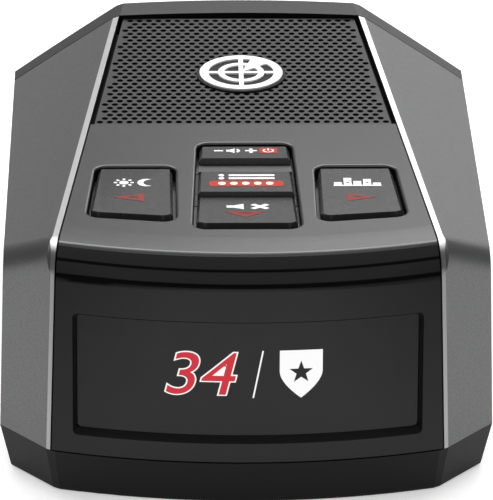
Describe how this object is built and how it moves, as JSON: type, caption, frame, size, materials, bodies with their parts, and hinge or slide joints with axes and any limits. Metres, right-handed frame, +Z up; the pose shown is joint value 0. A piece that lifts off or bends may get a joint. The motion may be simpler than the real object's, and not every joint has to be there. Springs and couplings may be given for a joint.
{
  "type": "radar detector",
  "caption": "Dashboard radar detector: wedge-shaped casing with a bowed display bezel, top keys, a perforated speaker grille, a road-facing lens and a bracket slot.",
  "frame": {"origin": "middle of the footprint, on the underside of the base", "axes": "+Z up; -Y is the display side that faces the driver, +Y is the lens side that faces the road; +X is the driver's right"},
  "size_m": [0.07, 0.1, 0.0377],
  "materials": {
    "panel_paint": "satin grey metallic paint over moulded plastic",
    "top_paint": "soft satin grey paint over moulded plastic",
    "rim_plastic": "fine matte texture",
    "grille_metal": "pierced sheet, satin grey paint",
    "emblem_white": "white print on a thin raised mark",
    "dust_cloth": "open woven black cloth",
    "lens_tint": "polished dark tinted plastic",
    "bezel_gloss": "polished black",
    "window_smoke": "smoked and polished",
    "foam": "closed-cell foam",
    "display_glass": "polished, black when off",
    "frame_plastic": "moulded, plain",
    "circuit_board": "green solder resist",
    "flat_cable": "amber polyimide film",
    "base_plastic": "fine matte texture",
    "label_stock": "blank satin film",
    "key_plastic": "soft satin grey paint",
    "switch_plastic": "moulded, plain",
    "plunger_plastic": "moulded, plain",
    "connector_plastic": "moulded, plain",
    "chip_plastic": "moulded epoxy",
    "tin_plate": "bright tinned sheet",
    "cast_alloy": "as cast",
    "clear_plastic": "clear and polished",
    "pressed_steel": "black paint on pressed sheet",
    "cone_paper": "treated black paper pulp",
    "magnet": "ground ferrite and plated steel",
    "socket_plastic": "moulded, plain",
    "plated_pin": "nickel plated",
    "screw_steel": "dark zinc plate"
  },
  "bodies": {
    "housing": {"top_panel": "top_paint", "speaker_grille": "grille_metal", "grille_emblem": "emblem_white", "grille_cloth": "dust_cloth", "left_side_panel": "panel_paint", "right_side_panel": "panel_paint", "rear_cover": "rim_plastic", "rear_lens": "lens_tint", "front_bezel": "bezel_gloss", "display_window": "window_smoke", "display_gasket": "foam", "oled_display": "display_glass", "display_frame": "frame_plastic", "display_board": "circuit_board", "display_ribbon": "flat_cable", "bottom_case": "base_plastic", "label_plate": "label_stock", "chassis": "frame_plastic", "button_board": "circuit_board", "tact_switches": "switch_plastic", "button_ribbon": "flat_cable", "main_board": "circuit_board", "board_connectors": "connector_plastic", "board_components": "chip_plastic", "rf_shield": "tin_plate", "horn_antenna": "cast_alloy", "laser_sensor_board": "circuit_board", "laser_sensor_lens": "clear_plastic", "speaker_frame": "pressed_steel", "speaker_cone": "cone_paper", "speaker_magnet": "magnet", "speaker_gasket": "foam", "power_jack": "socket_plastic", "power_jack_pin": "plated_pin", "bracket_receiver": "frame_plastic", "case_screws": "screw_steel", "board_screws": "screw_steel"},
    "vol_key": {"button_vol": "key_plastic", "switch_plunger_vol": "plunger_plastic"},
    "menu_key": {"button_menu": "key_plastic", "switch_plunger_menu": "plunger_plastic"},
    "mute_key": {"button_mute": "key_plastic", "switch_plunger_mute": "plunger_plastic"},
    "dim_key": {"button_dim": "key_plastic", "switch_plunger_dim": "plunger_plastic"},
    "city_key": {"button_city": "key_plastic", "switch_plunger_city": "plunger_plastic"}
  },
  "joints": [
    {"name": "vol_press", "type": "slide", "parent": "housing", "child": "vol_key", "axis": [0, 0, -1], "range_m": [0, 0.0005], "stiffness_N_per_m": 1000},
    {"name": "menu_press", "type": "slide", "parent": "housing", "child": "menu_key", "axis": [0, 0, -1], "range_m": [0, 0.0005], "stiffness_N_per_m": 1000},
    {"name": "mute_press", "type": "slide", "parent": "housing", "child": "mute_key", "axis": [0, 0, -1], "range_m": [0, 0.0005], "stiffness_N_per_m": 1000},
    {"name": "dim_press", "type": "slide", "parent": "housing", "child": "dim_key", "axis": [0, 0, -1], "range_m": [0, 0.0005], "stiffness_N_per_m": 1000},
    {"name": "city_press", "type": "slide", "parent": "housing", "child": "city_key", "axis": [0, 0, -1], "range_m": [0, 0.0005], "stiffness_N_per_m": 1000}
  ]
}
